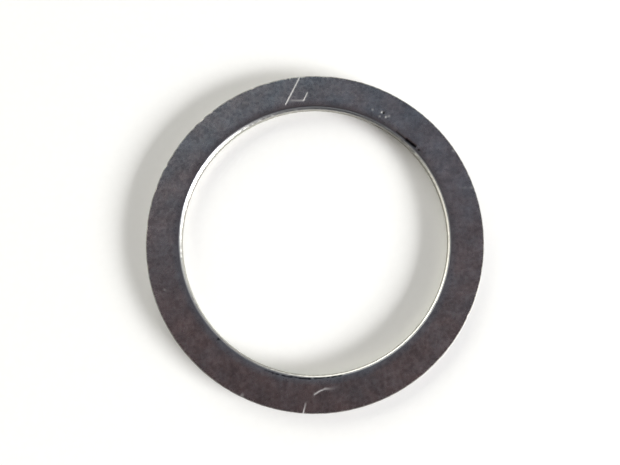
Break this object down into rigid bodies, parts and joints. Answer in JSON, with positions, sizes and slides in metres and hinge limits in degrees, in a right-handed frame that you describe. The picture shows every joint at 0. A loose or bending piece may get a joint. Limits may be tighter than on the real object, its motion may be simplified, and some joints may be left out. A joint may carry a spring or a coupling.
{
  "type": "flat washer",
  "caption": "Plain punched steel ring washer: a wide bore, a narrow flat face on each side, and edges rolled over on one side and crisp on the other.",
  "frame": {"origin": "centre of the underside, on the bore's axis", "axes": "+Z along the bore's axis, from the underside up through the top face, which is the face where the bore's edge is rolled over; +X and +Y lie in the underside"},
  "size_m": [0.05, 0.05, 0.0025],
  "materials": {
    "ring_steel": "dull rolled and tumbled steel, satin, with a bright sheared wall"
  },
  "bodies": {
    "root": {"washer_ring": "ring_steel"}
  },
  "joints": []
}
